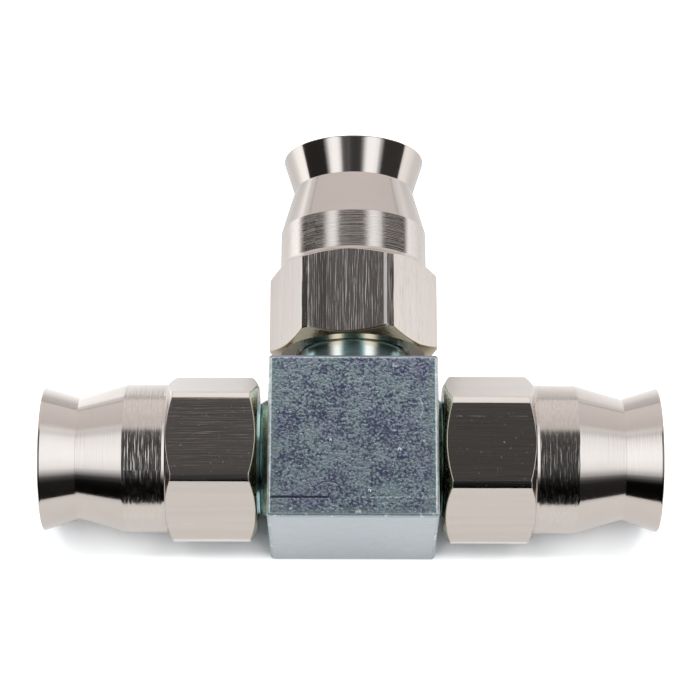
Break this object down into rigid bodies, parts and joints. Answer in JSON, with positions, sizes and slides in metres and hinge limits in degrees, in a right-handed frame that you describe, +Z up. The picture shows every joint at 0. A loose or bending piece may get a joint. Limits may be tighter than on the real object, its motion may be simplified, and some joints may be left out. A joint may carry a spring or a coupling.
{
  "type": "three-way hose fitting",
  "caption": "Compact tee joining braided hoses: square steel block with turned spigots, each under a hexagonal screwed socket with a flared mouth.",
  "frame": {"origin": "centre of the block's underside, on which the fitting lies", "axes": "+Z up out of the block's top face; +X along the straight run, towards the right port; +Y along the branch port, away from the flat front face"},
  "size_m": [0.0587, 0.0391, 0.016],
  "materials": {
    "zinc_plate": "zinc plated steel, mottled blue and grey on the rolled faces, smooth on the cut ones",
    "nickel_plate": "bright nickel plated steel with fine turning lines",
    "olive_brass": "plain turned brass"
  },
  "bodies": {
    "root": {"tee_body": "zinc_plate", "socket_left": "nickel_plate", "socket_right": "nickel_plate", "socket_rear": "nickel_plate", "olive_left": "olive_brass", "olive_right": "olive_brass", "olive_rear": "olive_brass"}
  },
  "joints": []
}
